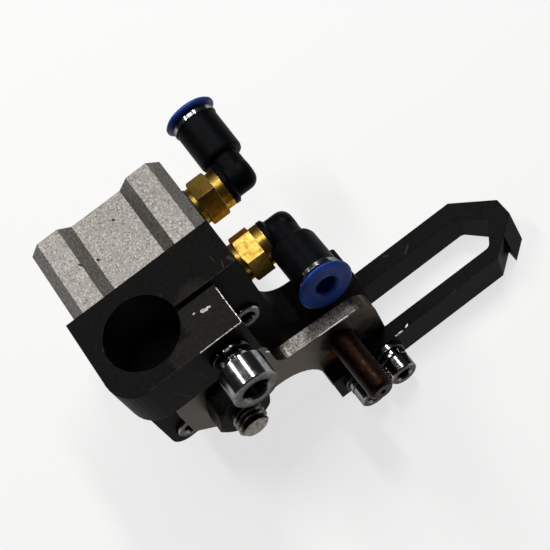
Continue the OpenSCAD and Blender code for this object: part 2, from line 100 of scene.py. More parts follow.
# Threads and spring washers, in millimetres
M6_MM = 6
M5_MM = 5
ROD_THREAD_START_MM = -44.3
ROD_TIP_CHAMFER_MM = 0.7
CLAMP_THREAD_MM = (-45.2, -48.75)
CLAMP_SCREW_AXIS_MM = (4.4, 20.55)
ARM_SCREW_AXES_MM = ((20.3, -20.1), (27.1, -20.1))
CLAMP_COIL = {"outer_mm": 7.2, "inner_mm": 5.1, "thick_mm": 1.2, "rise_mm": 0.5, "split_degrees": 110}
ARM_COIL = {"outer_mm": 5.8, "inner_mm": 3.2, "thick_mm": 1.35, "rise_mm": 0.25, "split_degrees": 60}
COIL_GAP_DEGREES = 14
COIL_ROUNDING_MM = 0.12
COIL_CORNER_DEGREES = 60

# Patterns
BEVEL_SAMPLES = 6
# Cosines between the rounded and the true normal: on an open face, and well round an edge
EDGE_COSINES = (0.99, 0.8)
# Where a mark's outline starts and ends, as parts of its width
MARK_FADE = (0.56, 0.42)
# Distance from the rod's axis where the painted shade in its thread roots starts, and where it is full
ROD_ROOT_SHADE_MM = (2.8, 2.5)
# The painted shade stops along Y just short of the rod's end face
ROD_END_MM = (-48.83, -48.75)
# The darker band on the clamp screw's thread stops along Y under its head
DARK_THREAD_END_MM = (-46.85, -46.7)


def linear(hex_colour):
    """The linear colour of an sRGB hex value."""
    channels = [int(hex_colour[i:i + 2], 16) / 255 for i in (1, 3, 5)]
    return tuple(c / 12.92 if c <= 0.04045 else ((c + 0.055) / 1.055) ** 2.4 for c in channels)


def colour_property(name, description, hex_colour):
    """A colour that the user picks, with an sRGB hex default."""
    return bpy.props.FloatVectorProperty(
        name=name, description=description, default=linear(hex_colour), subtype="COLOR", min=0, max=1
    )


def length_property(name, description, millimetres):
    """A length that the user sets, with a default in millimetres."""
    return bpy.props.FloatProperty(
        name=name, description=description, default=millimetres * MM, unit="LENGTH", min=0, precision=5
    )


class FinishColours(bpy.types.PropertyGroup):
    aluminium: colour_property("Aluminium", "Blasted aluminium of the body", "#94908a")
    oxide: colour_property("Black oxide", "Black oxide film on the bracket and the arm", "#0c0b0a")
    plate: colour_property("Plate steel", "Ground steel of the tool plate", "#504840")
    plating: colour_property("Screw plating", "Bright plating of the screws", "#9d9e9f")
    brass: colour_property("Brass", "Brass where it is clean", "#c9a450")
    tarnish: colour_property("Tarnish", "Brown tarnish on the brass", "#6e521b")
    nylon: colour_property("Nylon", "Black nylon of the elbows", "#060709")
    acetal: colour_property("Acetal", "Blue acetal of the release rings", "#2749a0")
    rust: colour_property("Rust", "Fresh rust", "#8a4a22")
    pin: colour_property("Pin film", "Brown film on the guide pin", "#150d09")
    floor: colour_property("Floor", "Paper that the object stands on", "#f3f2ef")


class ThreadSizes(bpy.types.PropertyGroup):
    m6_pitch: length_property("M6 pitch", "Thread pitch of the rod's end", 1.0)
    m5_pitch: length_property("M5 pitch", "Thread pitch of the clamp screw", 0.8)


class StudioSettings(bpy.types.PropertyGroup):
    camera_place: bpy.props.FloatVectorProperty(
        name="Camera place", description="Where the photograph was taken from",
        default=(0.010202, -0.151635, 0.215209), subtype="TRANSLATION", unit="LENGTH"
    )
    camera_turn: bpy.props.FloatVectorProperty(
        name="Camera turn", description="How the camera is turned, about X, Y and Z",
        default=tuple(math.radians(a) for a in (25.8216, 16.1841, -33.8885)), subtype="EULER", unit="ROTATION"
    )
    focal_px: bpy.props.FloatProperty(
        name="Focal length", description="Focal length in pixels of the photograph", default=1372.0
    )
    left_power: bpy.props.FloatProperty(
        name="Left tube", description="Power of the long lamp above on the left", default=1.6, unit="POWER"
    )
    right_power: bpy.props.FloatProperty(
        name="Right tube", description="Power of the long lamp above on the right", default=2.1, unit="POWER"
    )
    top_power: bpy.props.FloatProperty(
        name="Top light", description="Power of the square softbox straight above", default=0.5, unit="POWER"
    )
    sky: bpy.props.FloatProperty(
        name="Sky", description="Strength of the even light from all round", default=0.03
    )


def rgba(colour):
    """A colour with full alpha."""
    return (*colour[:3], 1.0)


def shade(colour, factor):
    """A colour made darker or lighter."""
    return tuple(factor * channel for channel in colour)


def fill(tree, node, inputs):
    """Sets or links a node's inputs. A node given as a value stands for its first open output."""
    for name, value in inputs.items():
        socket = node.inputs[name]
        if isinstance(value, bpy.types.Node):
            value = next(output for output in value.outputs if output.enabled)
        if isinstance(value, bpy.types.NodeSocket):
            tree.links.new(value, socket)
        else:
            socket.default_value = rgba(value) if socket.type == "RGBA" else value


def add(tree, kind, inputs=None, **settings):
    """Adds a shader node with its settings and inputs."""
    node = tree.nodes.new("ShaderNode" + kind)
    for name, value in settings.items():
        setattr(node, name, value)
    fill(tree, node, inputs or {})
    return node


def new_material(name):
    """An empty material with its shader and the object's own coordinates."""
    material = bpy.data.materials.new(name)
    material.use_nodes = True
    tree = material.node_tree
    tree.nodes.clear()
    shader = add(tree, "BsdfPrincipled")
    add(tree, "OutputMaterial", {"Surface": shader})
    place = add(tree, "TexCoord").outputs["Object"]
    return material, tree, shader, place


def grains(tree, place, grain_mm, detail=3.0, rough=0.55, stretch=(1, 1, 1)):
    """Noise whose grains measure about grain_mm."""
    stretched = add(tree, "Mapping", {"Vector": place, "Scale": stretch})
    return add(tree, "TexNoise", {
        "Vector": stretched, "Scale": 1 / (grain_mm * MM), "Detail": detail, "Roughness": rough
    })


def patches(tree, place, grain_mm, cuts, shares=(0, 1), detail=3.0, rough=0.55, stretch=(1, 1, 1)):
    """Noise in patches: the first share below the first cut, the second above the second."""
    return add(tree, "MapRange", {
        "Value": grains(tree, place, grain_mm, detail, rough, stretch),
        "From Min": cuts[0], "From Max": cuts[1], "To Min": shares[0], "To Max": shares[1]
    })


def edges(tree, width_mm):
    """1 along the sharp edges and 0 on the open faces."""
    soft = add(tree, "Bevel", {"Radius": width_mm * MM}, samples=BEVEL_SAMPLES)
    sharp = add(tree, "NewGeometry").outputs["Normal"]
    along = add(tree, "VectorMath", {0: soft, 1: sharp}, operation="DOT_PRODUCT")
    return add(tree, "MapRange", {"Value": along, "From Min": EDGE_COSINES[0], "From Max": EDGE_COSINES[1]})


def facing(tree, axis):
    """How much a face looks along an axis, from -1 to 1."""
    normal = add(tree, "NewGeometry").outputs["Normal"]
    return add(tree, "SeparateXYZ", {"Vector": normal}).outputs[axis]


def shaken(tree, place, grain_mm, reach_mm):
    """The place moved about a little, which makes a mark's outline ragged."""
    cloud = add(tree, "TexNoise", {"Vector": place, "Scale": 1 / (grain_mm * MM), "Detail": 2.0})
    centred = add(tree, "VectorMath", {0: cloud.outputs["Color"], 1: (0.5, 0.5, 0.5)}, operation="SUBTRACT")
    moved = add(tree, "VectorMath", {0: centred, "Scale": reach_mm * MM}, operation="SCALE")
    return add(tree, "VectorMath", {0: place, 1: moved}, operation="ADD")


def stroke(tree, place, start_mm, end_mm, width_mm):
    """1 along a straight mark between two points in millimetres, and 0 away from it."""
    start = Vector(start_mm) * MM
    run = Vector(end_mm) * MM - start
    reach = add(tree, "VectorMath", {0: place, 1: start}, operation="SUBTRACT")
    part = add(tree, "VectorMath", {0: reach, 1: run / run.length_squared}, operation="DOT_PRODUCT")
    held = add(tree, "MapRange", {"Value": part})
    nearest = add(tree, "VectorMath", {0: run, "Scale": held}, operation="SCALE")
    off = add(tree, "VectorMath", {0: reach, 1: nearest}, operation="DISTANCE")
    outer, inner = (part_of_width * width_mm * MM for part_of_width in MARK_FADE)
    return add(tree, "MapRange", {"Value": off, "From Min": outer, "From Max": inner})


def strokes(tree, place, marks):
    """All of a list of marks together."""
    total = 0.0
    for mark in marks:
        one = stroke(tree, place, *mark)
        total = add(tree, "Math", {0: one, 1: total}, operation="MAXIMUM", use_clamp=True)
    return total


def overlap(tree, first, *others):
    """The product of masks and strengths."""
    for other in others:
        first = add(tree, "Math", {0: first, 1: other}, operation="MULTIPLY", use_clamp=True)
    return first


def layers(tree, base, *coats):
    """Lays colours over a base colour, each where its mask is 1."""
    for mask, colour in coats:
        base = add(tree, "Mix", {0: mask, 6: base, 7: colour}, data_type="RGBA")
    return base


def surface(tree, shader, base, rough, relief, rounding_mm=0.0, metallic=1.0, **others):
    """Wires the shader, with relief over softly rounded edges.

    rough is a pattern and the roughness where it is 0 and 1.
    relief is a height pattern, its depth in millimetres and its strength.
    """
    pattern, at_zero, at_one = rough
    height, depth_mm, strength = relief
    shape = {"Height": height, "Distance": depth_mm * MM, "Strength": strength}
    if rounding_mm:
        shape["Normal"] = add(tree, "Bevel", {"Radius": rounding_mm * MM}, samples=BEVEL_SAMPLES)
    fill(tree, shader, {
        "Base Color": base, "Metallic": metallic,
        "Roughness": add(tree, "MapRange", {"Value": pattern, "To Min": at_zero, "To Max": at_one}),
        "Normal": add(tree, "Bump", shape),
        **{name.replace("_", " "): value for name, value in others.items()}
    })


# Marks, each a straight run from one point to another and its width, all in millimetres.
# The first ones are nicks in the body, then bare and dull scratches on the black oxide steel.
BODY_NICKS = (
    ((-8.1, -9.2, 14.4), (-7.8, -9.6, 14.4), 0.5),
    ((-5.1, -9.3, 12.5), (-4.8, -9.6, 12.5), 0.45),
    ((1.3, -4.3, 12.5), (1.5, -4.5, 12.5), 0.4),
    ((7.6, -2.6, 12.9), (7.8, -4.6, 14.0), 0.35),
)
BRIGHT_MARKS = (
    ((3.6, -38.5, 25.9), (3.8, -38.5, 25.9), 0.35),
    ((5.0, -39.0, 25.9), (5.7, -39.2, 25.9), 0.6),
    ((6.0, -39.1, 25.9), (6.4, -39.2, 25.9), 0.35),
    ((9.1, -37.0, 25.9), (9.1, -44.8, 25.9), 0.28),
    ((1.0, -45.0, 25.9), (9.1, -45.0, 25.9), 0.3),
    ((30.3, -43.4, -16.6), (31.6, -43.4, -16.6), 0.5),
    ((32.5, -43.2, -16.6), (33.2, -42.9, -16.6), 0.3),
)
DULL_MARKS = (
    ((9.1, -45.0, 25.5), (9.1, -45.0, 15.2), 0.25),
    ((-9.0, -45.0, 25.9), (1.0, -45.0, 25.9), 0.35),
    ((11.3, -31.5, 25.9), (11.4, -33.0, 25.9), 0.2),
    ((12.4, -33.6, 25.9), (12.0, -34.8, 25.9), 0.25),
    ((13.6, -33.9, 25.9), (14.5, -35.2, 25.9), 0.8),
    ((14.5, -28.6, 25.9), (14.5, -35.2, 25.9), 0.3),
    ((6.0, -35.2, 25.9), (14.5, -35.2, 25.9), 0.25),
    ((1.2, -31.6, 25.9), (0.6, -32.6, 25.9), 0.35),
    ((-6.6, -45.0, 20.7), (-4.9, -45.0, 15.8), 0.3),
    ((-1.5, -45.0, 21.0), (-0.9, -45.0, 17.5), 0.3),
    ((-11.7, -33.9, 25.9), (-9.8, -30.7, 25.9), 0.35),
    ((34.0, -43.4, -16.6), (56.0, -43.4, -16.6), 0.25),
    ((41.5, -30.8, -16.6), (43.0, -29.6, -16.6), 0.4),
    ((38.1, -28.4, -16.6), (38.9, -28.9, -16.6), 0.4),
    ((43.4, -43.4, -16.6), (44.2, -43.4, -16.6), 0.6),
)
# Painted shade in the sockets of the screws, a handled patch on the bracket, and a darker band on the clamp
# screw's thread
SOCKET_SHADE = (
    ((4.4, -52.9, 20.55), (4.4, -49.5, 20.55), 5.0),
    ((20.3, -48.3, -20.1), (20.3, -46.5, -20.1), 3.1),
    ((27.1, -48.3, -20.1), (27.1, -46.5, -20.1), 3.1),
    ((10.0, -35.2, 10.0), (10.0, -33.0, 10.0), 3.1),
    ((-10.0, -35.2, -10.0), (-10.0, -33.0, -10.0), 3.1),
)
HANDLED_PLACES = (
    ((5.0, -37.5, 25.9), (5.0, -43.5, 25.9), 8.5),
    ((-2.0, -43.3, 25.9), (4.0, -43.0, 25.9), 4.0),
)
DARK_THREAD_PLACES = (
    ((4.4, -45.0, 20.55), (4.4, -45.6, 20.55), 10.5),
)
# The tool plate's painted edge highlight, its rust and the painted shadow of the pin beside it, and the rod
# nut
PLATE_EDGE_HIGHLIGHT = (
    ((9.2, -40.35, 4.0), (12.6, -40.35, -1.2), 0.3),
    ((12.6, -40.35, -1.3), (18.6, -40.35, -3.4), 0.45),
    ((18.6, -40.35, -3.4), (24.6, -40.35, -4.1), 0.4),
)
PLATE_RUST = (
    ((18.4, -40.35, -8.0), (18.9, -40.35, -13.5), 1.6),
)
PLATE_SHADE = (
    ((20.0, -40.35, -8.2), (22.4, -40.35, -11.4), 5.6),
)
NUT_FACES = ((0, -41.5, 0), (0, -44.5, 0), 13)


def blasted_aluminium(colours):
    """Extruded aluminium, bead blasted: even grey, with dark grit in its pores."""
    material, tree, shader, place = new_material("Blasted aluminium")
    metal = colours.aluminium
    # The grit is drawn about 0.3 mm wide, coarser than the real one, so that it shows
    base = layers(
        tree, shade(metal, 0.86),
        (patches(tree, place, 6, (0.3, 0.7)), metal),
        (patches(tree, place, 0.34, (0.5, 0.62), (0, 0.85), 2, 0.7), shade(metal, 0.36)),
        (patches(tree, place, 0.42, (0.54, 0.64), (0, 0.8), 2, 0.6, (1.1, 0.9, 1)), shade(metal, 1.5)),
        (patches(tree, place, 0.6, (0.75, 0.78), detail=1, rough=0.5), linear("#2b2724")),
        (strokes(tree, shaken(tree, place, 0.5, 0.5), BODY_NICKS), linear("#35302c")),
        (overlap(tree, edges(tree, 0.15), 0.35), linear("#b5b3ae")),
    )
    fine = patches(tree, place, 0.14, (0.2, 0.8), detail=2)
    surface(tree, shader, base, (fine, 0.44, 0.56), (grains(tree, place, 0.14, 2), 0.02, 0.6), 0.15)
    return material


def turned_aluminium(colours):
    """Aluminium straight from the lathe: a fine grain and a soft sheen."""
    material, tree, shader, place = new_material("Turned aluminium")
    tone = patches(tree, place, 1.2, (0.3, 0.7), detail=2)
    base = layers(tree, linear("#a8a7a3"), (tone, linear("#bcbbb6")))
    surface(tree, shader, base, (tone, 0.3, 0.42), (grains(tree, place, 0.1, 2), 0.008, 0.4), 0.1)
    return material


def black_oxide(colours):
    """Milled steel with a black oxide film: nearly black, rubbed bright along its edges."""
    material, tree, shader, place = new_material("Black oxide steel")
    oxide = colours.oxide
    mottle = patches(tree, place, 0.5, (0.42, 0.7), (0, 0.8), 3, 0.75)
    dirtier = add(tree, "MapRange", {"Value": mottle, "To Min": 0.4})
    handled = overlap(tree, strokes(tree, shaken(tree, place, 2, 2.5), HANDLED_PLACES), dirtier)
    rub = overlap(tree, edges(tree, 0.22), patches(tree, place, 1.1, (0.5, 0.66), detail=4, rough=0.75))
    ragged = shaken(tree, place, 0.35, 0.35)
    worn = patches(tree, place, 0.7, (0.36, 0.52), (0.25, 1), 3, 0.7)
    bare = overlap(tree, strokes(tree, ragged, BRIGHT_MARKS), worn)
    ripple = patches(tree, place, 0.9, (0.5, 0.62), rough=0.7, stretch=(1, 2.5, 1))
    base = layers(
        tree, shade(oxide, 0.5),
        (patches(tree, place, 4, (0.3, 0.7), detail=4, rough=0.65), shade(oxide, 1.1)),
        (mottle, shade(oxide, 2.6)),
        (handled, linear("#2b2825")),
        (patches(tree, place, 1.3, (0.62, 0.8), (0, 0.5), 3, 0.7), linear("#1d1611")),
        (patches(tree, place, 0.5, (0.75, 0.79), (0, 0.5), 2, 0.6), linear("#4c4843")),
        (overlap(tree, rub, 0.7), linear("#5d5953")),
        (overlap(tree, strokes(tree, ragged, DULL_MARKS), worn, 0.5), linear("#45413c")),
        (bare, linear("#c8c5be")),
        (overlap(tree, stroke(tree, place, *NUT_FACES), ripple, 0.5), linear("#39332a")),
    )
    metal = add(tree, "Math", {0: bare, 1: rub}, operation="MAXIMUM", use_clamp=True)
    surface(tree, shader, base, (bare, 0.5, 0.3), (grains(tree, place, 0.25, 3, 0.6), 0.02, 0.7), 0.2, metal,
            Specular_IOR_Level=0.04)
    return material


def plate_steel(colours):
    """Ground steel plate: grey-beige, dull, with rust creeping out beside the pin."""
    material, tree, shader, place = new_material("Ground plate steel")
    tone = patches(tree, place, 1.6, (0.3, 0.7), detail=4, rough=0.7)
    # On the upward faces, coarse light specks among darker steel: a painted highlight
    top = add(tree, "MapRange", {"Value": facing(tree, "Z"), "From Min": 0.7, "From Max": 0.95})
    speck = patches(tree, place, 0.35, (0.4, 0.7), rough=0.75)
    ragged = shaken(tree, place, 0.8, 1.2)
    base = layers(
        tree, shade(colours.plate, 0.62),
        (tone, shade(colours.plate, 1.1)),
        (overlap(tree, top, 0.8), layers(tree, linear("#3a3733"), (speck, linear("#a39f99")))),
        (patches(tree, place, 2.2, (0.6, 0.74), (0, 0.6)), linear("#2c241c")),
        (overlap(tree, strokes(tree, ragged, PLATE_RUST), 0.7), colours.rust),
        # Near black patch beside the pin: painted shadow of the pin
        (strokes(tree, ragged, PLATE_SHADE), linear("#0b0a09")),
        # A near white line along the plate's top edge: a painted highlight
        (strokes(tree, shaken(tree, place, 0.3, 0.12), PLATE_EDGE_HIGHLIGHT), linear("#e3e0da")),
    )
    surface(tree, shader, base, (tone, 0.34, 0.5), (grains(tree, place, 0.2, 3, 0.6), 0.015, 0.6), 0.15)
    return material


def screw_plating(colours):
    """Plated screw steel: bright, with a dull handled film in patches."""
    material, tree, shader, place = new_material("Plated screw steel")
    film = patches(tree, place, 1.0, (0.4, 0.75), rough=0.6)
    # The end faces are dull from the hex key and from hands
    end = add(tree, "MapRange", {"Value": facing(tree, "Y"), "From Min": -0.6, "From Max": -0.95})
    handled = patches(tree, place, 0.6, (0.3, 0.7), rough=0.7)
    along = add(tree, "SeparateXYZ", {"Vector": place}).outputs["Y"]
    behind_thread = add(tree, "MapRange", {
        "Value": along, "From Min": DARK_THREAD_END_MM[0] * MM, "From Max": DARK_THREAD_END_MM[1] * MM, "To Max": 0.85
    })
    # Darker on the thread by the washer, with painted highlights along its crests
    dark_thread_crest_highlights = layers(tree, linear("#1d1a17"), (edges(tree, 0.15), linear("#8f8b80")))
    base = layers(
        tree, colours.plating,
        (film, shade(colours.plating, 0.55)),
        (patches(tree, place, 0.35, (0.68, 0.78), (0, 0.7), 2), linear("#3b3129")),
        (overlap(tree, end, 0.85), layers(tree, linear("#3f3d3a"), (handled, linear("#76726d")))),
        # Near black in the screw sockets: painted shade
        (overlap(tree, strokes(tree, place, SOCKET_SHADE), 0.93), linear("#0c0b0a")),
        (overlap(tree, strokes(tree, place, DARK_THREAD_PLACES), behind_thread), dark_thread_crest_highlights),
    )
    dull = add(tree, "Math", {0: overlap(tree, film, 0.4), 1: end}, operation="MAXIMUM", use_clamp=True)
    surface(tree, shader, base, (dull, 0.12, 0.42), (grains(tree, place, 0.3, 2), 0.006, 0.4), 0.12,
            Specular_Tint=linear("#959595"))
    return material


def rod_steel(colours):
    """Ground rod steel with a cut thread: painted shade in its roots and painted highlights along its crests
    and edges.
    """
    material, tree, shader, place = new_material("Rod steel")
    film = patches(tree, place, 0.8, (0.35, 0.7), rough=0.6)
    flat = add(tree, "VectorMath", {0: place, 1: (1, 0, 1)}, operation="MULTIPLY")
    away = add(tree, "VectorMath", {0: flat}, operation="LENGTH")
    along = add(tree, "SeparateXYZ", {"Vector": place}).outputs["Y"]
    root, before_end = (
        add(tree, "MapRange", {"Value": value, "From Min": clean_mm * MM, "From Max": dirty_mm * MM})
        for value, (clean_mm, dirty_mm) in ((away, ROD_ROOT_SHADE_MM), (along, ROD_END_MM))
    )
    base = layers(
        tree, linear("#8d8881"),
        (film, linear("#4b4640")),
        # Painted shade in the thread's roots
        (overlap(tree, root, before_end), linear("#0d0b09")),
        # Painted highlights along the thread's crests and the rod's edges
        (overlap(tree, edges(tree, 0.1), 0.8), linear("#b9b5ac")),
    )
    surface(tree, shader, base, (film, 0.26, 0.44), (grains(tree, place, 0.2, 2), 0.01, 0.5), 0.08)
    return material


def rusted_pin(colours):
    """Hardened pin under a brown rust film."""
    material, tree, shader, place = new_material("Rusted pin steel")
    film = patches(tree, place, 0.7, (0.3, 0.7), detail=4, rough=0.7)
    bare = patches(tree, place, 0.9, (0.55, 0.75), (0, 0.5), 3, 0.7, (1, 0.4, 1))
    base = layers(tree, colours.pin, (film, linear("#2c1c15")), (bare, linear("#4f443f")))
    surface(tree, shader, base, (film, 0.42, 0.6), (grains(tree, place, 0.25), 0.02, 0.6), 0.12)
    return material


def tarnished_brass(colours):
    """Turned brass that has tarnished: golden where it is rubbed, brown in its corners."""
    material, tree, shader, place = new_material("Tarnished brass")
    film = patches(tree, place, 1.3, (0.35, 0.75), detail=4, rough=0.65)
    base = layers(
        tree, colours.brass,
        (film, colours.tarnish),
        (patches(tree, place, 0.3, (0.58, 0.72), (0, 0.7), 3, 0.7), linear("#5a4014")),
        # Paler than clean brass along the edges: a painted highlight
        (overlap(tree, edges(tree, 0.2), 0.8), linear("#ecd9a0")),
    )
    surface(tree, shader, base, (film, 0.26, 0.4), (grains(tree, place, 0.25), 0.012, 0.6), 0.12,
            Specular_Tint=linear("#9a8048"))
    return material


def moulded_nylon(colours):
    """Black glass-filled nylon: satin, with a fine moulded grain."""
    material, tree, shader, place = new_material("Moulded black nylon")
    tone = patches(tree, place, 3, (0.3, 0.7))
    dust = patches(tree, place, 0.5, (0.66, 0.8), (0, 0.3), 3, 0.7)
    base = layers(tree, colours.nylon, (tone, shade(colours.nylon, 1.6)), (dust, linear("#1c1e22")))
    surface(tree, shader, base, (tone, 0.4, 0.52), (grains(tree, place, 0.2, 2), 0.012, 0.5), 0.2, 0.0,
            Specular_IOR_Level=0.04)
    return material


def blue_acetal(colours):
    """Blue acetal: smooth and waxy, with grime rubbed into it."""
    material, tree, shader, place = new_material("Blue acetal")
    tone = patches(tree, place, 2.2, (0.3, 0.7))
    grime = patches(tree, place, 0.8, (0.52, 0.72), (0, 0.6), 4, 0.7, (1, 1, 3))
    base = layers(tree, colours.acetal, (tone, shade(colours.acetal, 0.65)), (grime, linear("#14234a")))
    surface(tree, shader, base, (tone, 0.34, 0.48), (grains(tree, place, 0.4, 2), 0.01, 0.4), 0.15, 0.0,
            Specular_IOR_Level=0.15)
    return material


def nitrile_rubber(colours):
    """Black nitrile rubber: matt, smooth moulded."""
    material, tree, shader, place = new_material("Nitrile rubber")
    tone = patches(tree, place, 1.0, (0.3, 0.7))
    base = layers(tree, linear("#131314"), (tone, linear("#222223")))
    surface(tree, shader, base, (tone, 0.55, 0.7), (grains(tree, place, 0.15, 2), 0.01, 0.4), metallic=0.0)
    return material


def spring_steel(colours):
    """Dark spring steel, rolled and oiled."""
    material, tree, shader, place = new_material("Spring steel")
    tone = patches(tree, place, 0.8, (0.3, 0.7))
    base = layers(tree, linear("#5d5b58"), (tone, linear("#86837e")))
    surface(tree, shader, base, (tone, 0.3, 0.45), (grains(tree, place, 0.15, 2), 0.01, 0.4))
    return material


def sintered_bronze(colours):
    """Sintered bronze: porous and oily brown."""
    material, tree, shader, place = new_material("Sintered bronze")
    pores = patches(tree, place, 0.12, (0.55, 0.7), detail=2)
    base = layers(tree, linear("#a9743c"), (pores, linear("#4b3018")))
    surface(tree, shader, base, (pores, 0.35, 0.6), (pores, 0.02, 0.5))
    return material


def pale_paper(colours):
    """The pale floor: matt paper with a faint tooth, seen as white with a soft shadow."""
    material, tree, shader, place = new_material("Pale paper")
    base = layers(tree, colours.floor, (grains(tree, place, 0.6), shade(colours.floor, 0.98)))
    fill(tree, shader, {"Base Color": base, "Roughness": 0.9})
    ray = add(tree, "LightPath").outputs
    seen = ray["Is Camera Ray"]
    for kind in ("Is Glossy Ray", "Is Transmission Ray"):
        seen = add(tree, "Math", {0: seen, 1: ray[kind]}, operation="ADD", use_clamp=True)
    white = add(tree, "Emission", {"Color": (1, 1, 1), "Strength": 1.0})
    mixed = add(tree, "MixShader", {0: overlap(tree, seen, PAPER_GLOW), 1: shader, 2: white})
    fill(tree, tree.nodes["Material Output"], {"Surface": mixed})
    return material


MAKERS = {
    "body_aluminium": blasted_aluminium,
    "turned_aluminium": turned_aluminium,
    "black_oxide_steel": black_oxide,
    "ground_plate_steel": plate_steel,
    "plated_screw_steel": screw_plating,
    "rod_steel": rod_steel,
    "rusted_pin_steel": rusted_pin,
    "tarnished_brass": tarnished_brass,
    "black_nylon": moulded_nylon,
    "blue_acetal": blue_acetal,
    "seal_rubber": nitrile_rubber,
    "spring_steel": spring_steel,
    "bronze_bush": sintered_bronze,
}
made = {}


def finish_of(context, slot):
    """The material of a slot in the record, made once."""
    if slot not in made:
        made[slot] = MAKERS[slot](context.scene.cylinder_colours)
    return made[slot]


def slot_of(name):
    """The material slot that the record gives a CAD node."""
    return next(part["material_slot"] for part in frame["record"]["subparts"] if part["node"] == name)


def coat(context, names):
    """Gives CAD nodes the finish of their slot."""
    for name in names:
        node = frame["nodes"].get(name)
        if node is None:
            raise RuntimeError(f"the frame has no node named {name}")
        node.data.materials.clear()
        node.data.materials.append(finish_of(context, slot_of(name)))


def merged_copy(name):
    """A CAD node's mesh as a bmesh, with its loose triangles joined."""
    mesh = bmesh.new()
    mesh.from_mesh(frame["nodes"][name].data)
    bmesh.ops.remove_doubles(mesh, verts=mesh.verts, dist=MERGE_MM * MM)
    return mesh


def cut(mesh, y_mm, drop_towards=0):
    """Cuts a bmesh across at a height along Y, and drops what lies beyond it towards -Y (-1) or +Y (1)."""
    bmesh.ops.bisect_plane(
        mesh, geom=mesh.verts[:] + mesh.edges[:] + mesh.faces[:], dist=CUT_MM * MM,
        plane_co=(0, y_mm * MM, 0), plane_no=(0, drop_towards or -1, 0), clear_outer=bool(drop_towards)
    )


def close_ends(mesh):
    """Fills every open end of a bmesh."""
    bmesh.ops.holes_fill(mesh, edges=[edge for edge in mesh.edges if edge.is_boundary], sides=0)


def add_thread(mesh, axis_mm, major_mm, pitch, start_mm, end_mm, chamfer_mm=0.0):
    """Adds a closed right-handed screw thread that runs from start to end towards -Y.

    All its measures but the pitch are in millimetres.
    """
    centre = Vector((axis_mm[0] * MM, 0, axis_mm[1] * MM))
    crest = major_mm * MM / 2
    root = crest - THREAD_DEPTH * pitch
    turns = math.ceil((start_mm - end_mm) * MM / pitch) + 2
    thread = bmesh.new()
    corners = []
    for along, on_crest in THREAD_OUTLINE:
        corner = Vector((0, start_mm * MM + pitch * (1 - along), crest if on_crest else root))
        corners.append(thread.verts.new(centre + corner))
    sides = [thread.edges.new(pair) for pair in zip(corners, corners[1:])]
    bmesh.ops.spin(
        thread, geom=corners + sides, cent=centre, axis=(0, -1, 0), dvec=(0, -pitch / TURN_STEPS, 0),
        angle=2 * math.pi * turns, steps=TURN_STEPS * turns, use_merge=False, use_duplicate=False
    )
    bmesh.ops.remove_doubles(thread, verts=thread.verts, dist=MERGE_MM * MM)
    cut(thread, end_mm, drop_towards=-1)
    cut(thread, start_mm, drop_towards=1)
    close_ends(thread)
    if chamfer_mm:
        for vertex in thread.verts:
            outward = vertex.co - centre
            outward.y = 0
            highest = crest - chamfer_mm * MM + (vertex.co.y - end_mm * MM)
            if outward.length > highest:
                vertex.co += outward.normalized() * (highest - outward.length)
    bmesh.ops.recalc_face_normals(thread, faces=thread.faces)
    join(mesh, thread)


def join(mesh, other):
    """Adds one bmesh to another and frees it."""
    spare = bpy.data.meshes.new("joined")
    other.to_mesh(spare)
    other.free()
    mesh.from_mesh(spare)
    bpy.data.meshes.remove(spare)


def add_coil(mesh, axis_mm, seat_mm, outer_mm, inner_mm, thick_mm, rise_mm, split_degrees):
    """Adds one turn of square wire, a split spring washer whose ends stand apart along Y."""
    centre = Vector((axis_mm[0] * MM, 0, axis_mm[1] * MM))
    coil = bmesh.new()
    first = math.radians(split_degrees + COIL_GAP_DEGREES / 2)
    away = Matrix.Rotation(first, 3, (0, -1, 0)) @ Vector((1, 0, 0))
    corners = [
        coil.verts.new(centre + away * radius * MM / 2 + Vector((0, (seat_mm - height) * MM, 0)))
        for radius, height in ((inner_mm, 0), (outer_mm, 0), (outer_mm, thick_mm), (inner_mm, thick_mm))
    ]
    end = coil.faces.new(corners)
    swept = bmesh.ops.spin(
        coil, geom=[end], cent=centre, axis=(0, -1, 0), dvec=(0, -rise_mm * MM / TURN_STEPS, 0),
        angle=math.radians(360 - COIL_GAP_DEGREES), steps=TURN_STEPS, use_merge=False, use_duplicate=False
    )
    if not swept["geom_last"]:
        raise RuntimeError("the spring washer wasn't swept")
    bmesh.ops.recalc_face_normals(coil, faces=coil.faces)
    corner = math.radians(COIL_CORNER_DEGREES)
    bmesh.ops.bevel(
        coil, geom=[edge for edge in coil.edges if edge.calc_face_angle(0) > corner],
        offset=COIL_ROUNDING_MM * MM, segments=2, profile=0.5, affect="EDGES", material=-1
    )
    join(mesh, coil)


def new_piece(context, mesh, name, replaced):
    """Makes a piece of a bmesh that stands for a CAD node, with that node's body and finish."""
    data = bpy.data.meshes.new(name)
    for face in mesh.faces:
        face.smooth = True
    mesh.to_mesh(data)
    mesh.free()
    data.set_sharp_from_angle(angle=math.radians(SHARP_DEGREES))
    piece = bpy.data.objects.new(name, data)
    context.scene.collection.objects.link(piece)
    bodies = frame["record"]["behaviour"]["bodies"]
    data.materials.append(finish_of(context, slot_of(replaced)))
    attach(piece, next(body for body, names in bodies.items() if replaced in names))
    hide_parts(replaced)


class CYLINDER_OT_body(bpy.types.Operator):
    """Finish the aluminium body and what is sealed inside it"""
    bl_idname = "cylinder.body"
    bl_label = "Body and inner pieces"

    def execute(self, context):
        coat(context, [
            "cylinder_body", "rear_cover", "rear_cover_seal", "rod_cover", "rod_cover_seal", "rod_bush",
            "rod_seal", "circlip", "piston", "piston_seal", "piston_bumpers"
        ])
        return {"FINISHED"}


class CYLINDER_OT_bracket(bpy.types.Operator):
    """Finish the clamp bracket, the arm and the rod nut"""
    bl_idname = "cylinder.bracket"
    bl_label = "Bracket, arm and nut"

    def execute(self, context):
        coat(context, ["clamp_bracket", "fork_arm", "rod_nut"])
        return {"FINISHED"}


